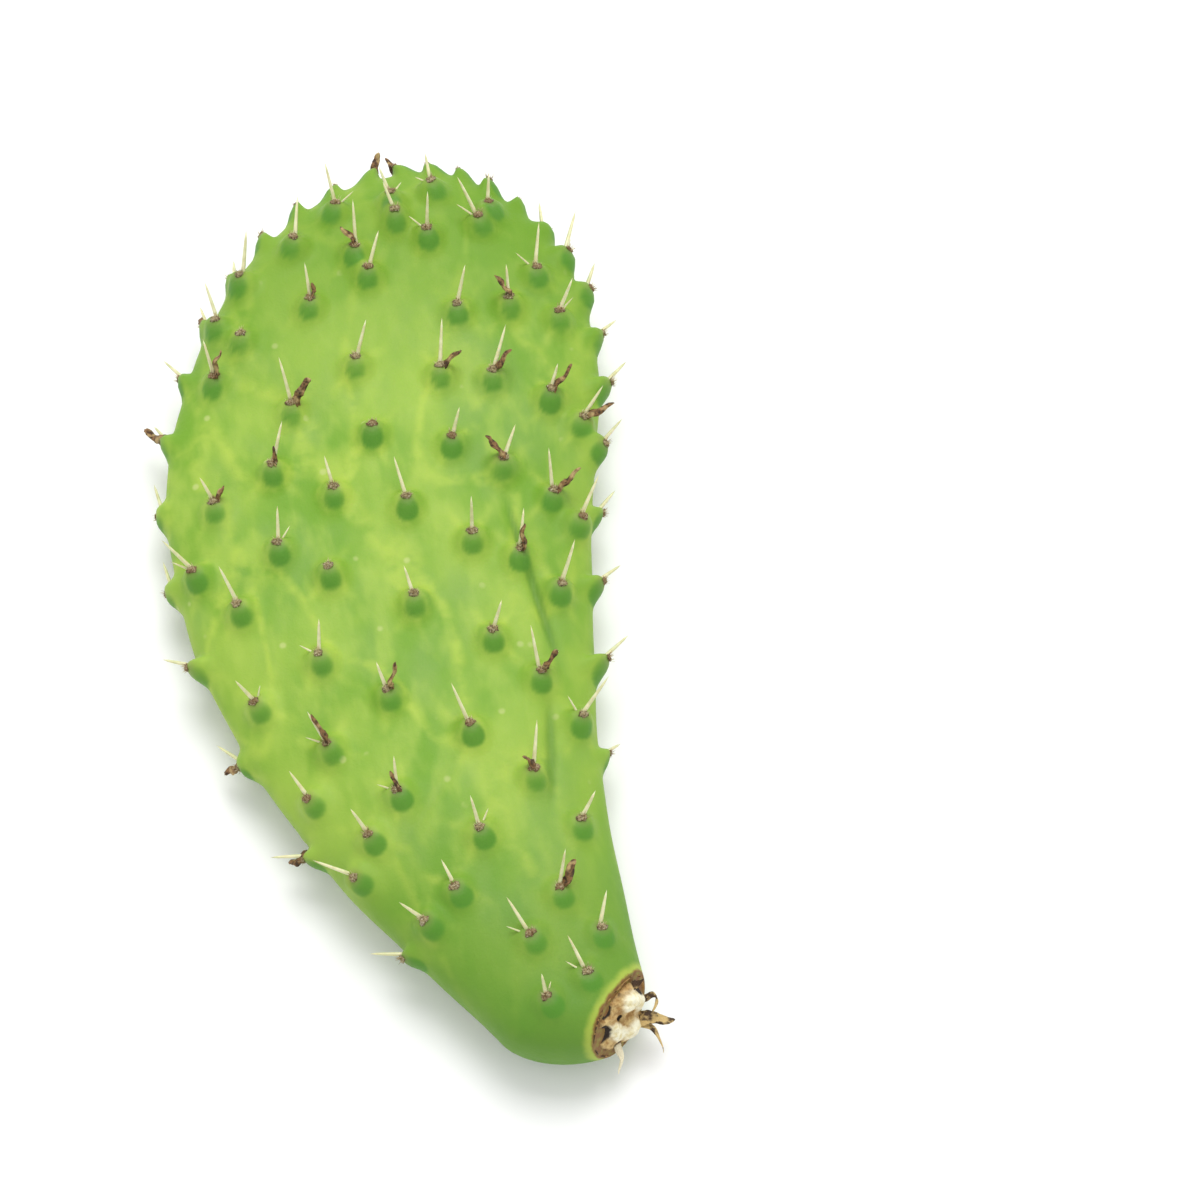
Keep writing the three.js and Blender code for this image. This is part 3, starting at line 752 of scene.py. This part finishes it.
def felt_cushions():
    """Flattened balls, wider across than along: rings whose radius is the sine and whose height is
    the cosine of an angle from pole to pole, both ragged."""
    angle = np.pi * (np.arange(FELT_RINGS) + 1) / (FELT_RINGS + 1)
    turn = 2 * np.pi * np.arange(FELT_SIDES) / FELT_SIDES
    knot = np.arange(FELT_RINGS * FELT_SIDES).reshape(FELT_RINGS, FELT_SIDES)
    ragged = 1 + 0.7 * (draw(keys[:, None, None] * 17 + knot, 17) - 0.5)
    radius = np.sin(angle)[None, :, None] * ragged
    rise = -FELT_HEIGHT * np.cos(angle)[None, :, None] * ragged
    toward, aside = FELT_ALONG * radius * np.cos(turn), FELT_ACROSS * radius * np.sin(turn)
    points = (roots[:, None, None] + toward[..., None] * seat_along[:, None, None]
              + aside[..., None] * seat_across[:, None, None]
              + rise[..., None] * seat_out[:, None, None])
    poles = np.stack([roots - FELT_HEIGHT * seat_out, roots + FELT_HEIGHT * seat_out], axis=1)
    knots = np.concatenate([points.reshape(len(roots), -1, 3), poles], axis=1)
    knots[..., 2] = np.maximum(knots[..., 2], OFF_TABLE)
    triangles = closed_tube(FELT_RINGS, FELT_SIDES) + (np.arange(len(roots)) * knots.shape[1])[:, None, None]
    piece = grown_piece("areole_felt", knots.reshape(-1, 3), triangles.reshape(-1, 3),
                        finish_of("areole_felt", {"Roughness": 0.95}, paint_felt))
    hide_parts("pad")


def paint_glochid(start):
    """Tan on some and cream on others."""
    cream = start.noise(1.5).step(0.4, 0.6)
    return {"Base Color": cream.between(colour(150, 122, 76), colour(220, 206, 162))}


def glochids():
    """Thin horns leaning outward and to the tip, round each areole that doesn't face the table."""
    which = np.repeat(np.arange(len(roots)), BRISTLES)
    number = np.arange(len(which))
    turn = 2 * np.pi * draw(number, 18)
    out, along, across = seat_out[which], seat_along[which], seat_across[which]
    spread = along * np.cos(turn)[:, None] + across * np.sin(turn)[:, None]
    starts = roots[which] + spread * (FELT_ALONG * draw(number, 19))[:, None] - 0.2 * out
    ways = unit(out + along * 0.5 + spread * (0.9 * draw(number, 20))[:, None])
    upward = out[:, 2] > -0.5
    lengths = BRISTLE_LENGTH * (0.6 + 0.7 * draw(number, 21))
    points, triangles = horns(starts[upward], ways[upward], ways[upward], lengths[upward],
                              BRISTLE_THICK, BRISTLE_THICK, BRISTLE_SIDES, BRISTLE_RINGS)
    piece = grown_piece("glochids", points, triangles,
                        finish_of("glochid", {"Roughness": 0.5}, paint_glochid))
    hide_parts("pad")


felt_cushions()
glochids()

# -------------------------------------------------------------------------------------------------
# Dried leaves
# A young pad's leaves are small fleshy horns that dry up and fall. The ones still on are brown,
# wrinkled and curled, and hang on beside the spine.
SHORTEST_LEAF = 3.5
LONGEST_LEAF = 8.0
LEAF_WIDTH = 2.0
LEAF_THICK = 1.3
LEAF_BEND = 0.9  # radians toward the tip, from the root to the end
LEAF_SIDES = 16
LEAF_RINGS = 22
LEAF_BESIDE = 0.6  # sideways from the spine
LEAF_CRUMPLED = 0.45
WIDER, THINNER = 1.15, 0.8  # before the wrinkles and crumples take their share


def paint_leaf(start):
    """Dark brown and tan in blotches, straw at places."""
    blotches = start.noise(1.0, 3.0)
    brown = blotches.step(0.36, 0.62).between(colour(66, 46, 28), colour(140, 104, 64))
    straw = start.noise(2.2, 1.0, shift=(0.2, 0.5, 0.1)).step(0.5, 0.68) * 0.75
    return {"Base Color": straw.between(brown, colour(196, 170, 116)),
            "Normal": start.bump(start.noise(0.4, 3.0), 0.4)}


def crumpled(points, size):
    """Points pushed about by crossing sine waves of a few millimetres, by size at most."""
    x, y, z = np.moveaxis(points, -1, 0)
    push = np.stack([np.sin(1.1 * y + 0.9 * z) + np.sin(2.3 * z - 1.1 * x), 1.5 * np.sin(1.3 * z + 1.0 * x),
                     np.sin(1.2 * x - 0.9 * y) + np.sin(2.1 * y + 3.0)], axis=-1)
    return points + size * push / 2


def dried_leaves():
    """Horns that are flat and narrow at the root, and crumpled."""
    hold = leafy.astype(bool)
    sideways = 2 * draw(keys, 8) - 1
    first = heading(0.2, 0.4 * sideways)
    last = heading(0.2 + LEAF_BEND * (0.7 + 0.6 * draw(keys, 7)), 1.6 * sideways)
    starts = roots - seat_out * SPINE_SUNK + seat_across * LEAF_BESIDE
    lengths = SHORTEST_LEAF + (LONGEST_LEAF - SHORTEST_LEAF) * draw(keys, 23) + SPINE_SUNK
    points, triangles = horns(starts[hold], first[hold], last[hold], lengths[hold], WIDER * LEAF_WIDTH,
                              THINNER * LEAF_THICK, LEAF_SIDES, LEAF_RINGS, power=0.35, wrinkle=0.25)
    piece = grown_piece("dried_leaves", crumpled(points, LEAF_CRUMPLED), triangles,
                        finish_of("dried_leaf", {"Roughness": 0.8}, paint_leaf))
    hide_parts("pad")


dried_leaves()

# -------------------------------------------------------------------------------------------------
# Torn base
# Where the pad broke off, its pith has dried to a cream plug with dark pits, in a shrunken brown
# ring inside the skin's lip. Loose shreds of bark and fibre hang at the right of it.
TOWARD_LEFT_LIP = np.array([0.56, 0.83, 0.0])
TEAR_LONG = unit(TOWARD_LEFT_LIP - TEAR_NORMAL * (TOWARD_LEFT_LIP @ TEAR_NORMAL))
TEAR_SHORT = np.cross(TEAR_NORMAL, TEAR_LONG)
PITH_RINGS = 100
PITH_AROUND = 280
PITH_REACH = 0.97  # share of the way to the skin that the tissue covers
RING_AT = 0.86  # share of the way where the dried ring lies, sunk below the lip
DOME = 0.9
GROOVE = 1.1
GROOVE_WIDE = 0.07  # share of the way
FOLDS = 0.3
ROUGHNESS = 0.2
LIFTED = 0.3  # clear of the cut flesh
RIM_BELOW = 0.6
DEEPEST = 1.6
# Lumps of pith, and pits between them: millimetres along the oval and across it, half sizes along
# and across, and height or depth
LUMPS = (
    (2.6, 3.2, 2.8, 2.4, 2.2),
    (-0.4, -4.4, 3.0, 2.6, 2.4),
    (5.0, -0.8, 2.4, 3.6, 1.8),
    (-3.6, 0.0, 2.2, 3.4, 0.9),
)
PITS = (
    (-0.9, 1.6, 0.9, 1.1, 1.2),
    (-6.2, 3.2, 2.3, 2.4, 1.5),
    (-2.2, 6.6, 1.7, 1.3, 1.2),
    (-5.2, -5.2, 1.3, 1.6, 1.4),
    (7.4, 0.8, 1.4, 2.6, 1.6),
)
TISSUE_HALF_LONG = 9.2
TISSUE_HALF_SHORT = 8.1
# The loose shreds: the turn round the oval where each is rooted, its length and width, and its
# heading at the root and at its end, as shares of outward, out of the tear and along the oval,
# and how pale it is
SHREDS = (
    (-1.22, 8.5, 4.2, (0.3, 1, 0.35), (0.3, 1, 0.35), 0.35),
    (-1.35, 11, 1.9, (0.4, 1, 0.3), (0, 0.5, -1), 0.75),
    (-0.6, 8, 1.8, (0, 0.7, 0.8), (0.1, -0.3, -1), 0.5),
    (-2.27, 7, 1.5, (1, 0.5, 0), (0.2, 0.2, -1), 1.0),
    (0.45, 3.2, 2.6, (0.5, 1, 0), (0.8, 0.5, 0), 0.2),
)
SHRED_THICK = 0.9
SHRED_THINNED = 0.7  # share of that thickness before the wrinkles take theirs
SHRED_ROOT = 0.8  # share of the way to the oval's rim
SHRED_SUNK_TO = 0.6  # rise of the roots over the tear, inside the pith
SHRED_SIDES = 20
SHRED_RINGS = 30
SHRED_CRUMPLED = 0.3


def on_tear(long, short, rise):
    """Point on the tear's plane by its two axes, raised out of it."""
    return (TEAR_CENTRE + np.asarray(long)[..., None] * TEAR_LONG + np.asarray(short)[..., None] * TEAR_SHORT
            + np.asarray(rise)[..., None] * TEAR_NORMAL)


WIDER_THAN_TEAR = 20.0
HALVINGS = 30


def tear_radius(turn):
    """Distance from the tear's centre to the smooth skin, by halving an interval until the point
    at its middle lies on the section's superellipse."""
    near, far = np.zeros_like(turn), np.full_like(turn, WIDER_THAN_TEAR)
    for _ in range(HALVINGS):
        half = (near + far) / 2
        x, y, z = np.moveaxis(on_tear(half * np.cos(turn), half * np.sin(turn), 0 * turn), -1, 0)
        inside = np.maximum(y, 0.01)
        full = (np.abs((x - middle(inside)) / half_width(inside)) ** SECTION_POWER
                + np.abs((z - mid_height(inside)) / half_thick(inside)) ** SECTION_POWER)
        outside = (full > 1) | (y < 0)
        near, far = np.where(outside, near, half), np.where(outside, half, far)
    return near


def paint_tissue(start):
    """Cream on the lumps, tan between them, a dashed brown ring and nearly black pits."""
    share, turned = start.attribute("share"), start.attribute("turned")
    clouds = start.noise(1.6, 3.0)
    tan = clouds.step(0.35, 0.65).between(colour(160, 122, 68), colour(212, 184, 124))
    raised = (start.attribute("lump") + 0.6 * start.noise(1.8, 2.0)).step(0.55, 1.15)
    tissue = raised.between(tan, clouds.step(0.3, 0.6).between(colour(226, 212, 160), colour(246, 242, 214)))
    ring = (share + 0.1 * start.noise(2.0, 2.0)).step(0.78, 0.9)
    dashes = (start.noise(1.2, 2.0) + 0.1 * turned).step(0.42, 0.58)
    tissue = ring.between(tissue, dashes.between(colour(78, 52, 26), colour(176, 136, 78)))
    dark = (start.attribute("pit") + 0.3 * start.noise(1.0, 2.0)).step(0.4, 0.68)
    return {"Base Color": dark.between(tissue, colour(38, 26, 14)),
            "Normal": start.bump(start.noise(0.6, 4.0), 0.45)}


def bells(along, across, places):
    """Sum of steep bells at the listed places, each with its height, and of the bells alone."""
    shapes = [(high, np.exp(-((((along - u) / long) ** 2 + ((across - v) / short) ** 2) ** 1.5)))
              for u, v, long, short, high in places]
    return sum(high * shape for high, shape in shapes), np.minimum(sum(shape for _, shape in shapes), 1)


def pith_plug():
    """A polar grid over the tear: a low dome with lumps and pits on it, falling to a groove inside
    the skin's lip, with folds as sines of the turn that grow toward the rim."""
    share = (np.arange(PITH_RINGS) + 1) / PITH_RINGS * PITH_REACH
    turn = 2 * np.pi * np.arange(PITH_AROUND) / PITH_AROUND
    share, turn = np.meshgrid(share, turn, indexing="ij")
    radius = tear_radius(turn) * share
    along, across = radius * np.cos(turn), radius * np.sin(turn)
    rise, lump = bells(along, across, LUMPS)
    depth, pit = bells(along, across, PITS)
    dome = DOME * np.sqrt(np.clip(1 - (share / RING_AT) ** 2, 0, None))
    groove = -GROOVE * np.exp(-(((share - RING_AT) / GROOVE_WIDE) ** 2))
    folds = FOLDS * np.sin(9 * turn + 2 * np.sin(4 * turn)) * share**4
    rough = np.sin(1.9 * along + 1.5 * np.sin(1.3 * across)) * np.sin(2.3 * across + 0.4 * along)
    inside = np.clip((RING_AT + 0.06 - share) / 0.2, 0, 1)
    out = dome + groove + folds + (rise - depth + ROUGHNESS * rough) * inside + LIFTED
    out[-1] = -RIM_BELOW
    face = on_tear(along, across, np.maximum(out, -DEEPEST))
    poles = on_tear(np.zeros(2), np.zeros(2), np.array([out[0].mean(), -0.7]))
    points = np.concatenate([face.reshape(-1, 3), poles])
    masks = {name: np.append(mask.ravel(), [mask[0].mean(), 0])
             for name, mask in (("pit", pit), ("lump", lump), ("share", share), ("turned", np.cos(turn)))}
    piece = grown_piece("torn_pith", points, closed_tube(PITH_RINGS, PITH_AROUND),
                        finish_of("torn_tissue", {"Roughness": 0.8}, paint_tissue), **masks)
    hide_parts("torn_base")


def paint_shred(start):
    """Dark brown and straw in streaks, cream where the shred is palest."""
    pale = start.attribute("pale")
    streaks = (start.noise(2.0, 3.0) + 0.35 * (pale - 0.4)).step(0.42, 0.58)
    bark = streaks.between(colour(66, 46, 26), colour(204, 176, 116))
    return {"Base Color": pale.step(0.8, 1.0).between(bark, colour(238, 230, 198)),
            "Normal": start.bump(start.noise(0.4, 3.0), 0.4)}


def shreds():
    """Flat horns rooted round the plug's rim, crumpled."""
    turn, lengths, wide, first, last, pale = (np.array(column, float) for column in zip(*SHREDS))
    outward = np.cos(turn)[:, None] * TEAR_LONG + np.sin(turn)[:, None] * TEAR_SHORT
    along, across = TISSUE_HALF_LONG * np.cos(turn), TISSUE_HALF_SHORT * np.sin(turn)
    starts = on_tear(SHRED_ROOT * along, SHRED_ROOT * across, np.full_like(turn, SHRED_SUNK_TO))
    ways = [unit(out[:, None] * outward + normal[:, None] * TEAR_NORMAL + long[:, None] * TEAR_LONG)
            for out, normal, long in (first.T, last.T)]
    points, triangles = horns(starts, *ways, lengths, wide, SHRED_THINNED * SHRED_THICK,
                              SHRED_SIDES, SHRED_RINGS, wrinkle=0.2)
    piece = grown_piece("torn_shreds", crumpled(points, SHRED_CRUMPLED), triangles,
                        finish_of("torn_bark", {"Roughness": 0.7}, paint_shred),
                        pale=np.repeat(pale, len(points) // len(pale)))
    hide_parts("torn_base")


pith_plug()
shreds()

# -------------------------------------------------------------------------------------------------
# Floor and light
# A plain white table, not part of the plant, under a broad soft light from behind the tip and
# with a pale sky all round.
FLOOR_HALF = 3
LAMP_AT = (0.3, 0.8, 1.7)
LAMP_POWER = 22.0
LAMP_SIZE = 1.1
SKY_STRENGTH = 0.84


def floor_and_light():
    """A square floor, an even white sky, and one square lamp aimed at the middle of the pad."""
    corners = [(FLOOR_HALF * x, FLOOR_HALF * y, 0) for x, y in ((-1, -1), (1, -1), (1, 1), (-1, 1))]
    floor = bpy.data.meshes.new("floor")
    floor.from_pydata(corners, [], [(0, 1, 2, 3)])
    floor.materials.append(finish_of("white_table", {"Base Color": colour(250, 250, 250), "Roughness": 0.9}))
    table = bpy.data.objects.new("floor", floor)
    bpy.context.scene.collection.objects.link(table)
    sky = bpy.data.worlds.new("studio")
    sky.use_nodes = True
    background = sky.node_tree.nodes["Background"].inputs
    background["Color"].default_value = (1.0, 1.0, 1.0, 1.0)
    background["Strength"].default_value = SKY_STRENGTH
    bpy.context.scene.world = sky
    bpy.context.scene.view_settings.view_transform = "Standard"
    place = Vector(LAMP_AT)
    lamp = bpy.data.lights.new("key", "AREA")
    lamp.energy = LAMP_POWER
    lamp.size = LAMP_SIZE
    light = bpy.data.objects.new("key", lamp)
    turned = (-place).to_track_quat("-Z", "Y").to_matrix().to_4x4()
    light.matrix_world = Matrix.Translation(place) @ turned
    bpy.context.scene.collection.objects.link(light)


floor_and_light()
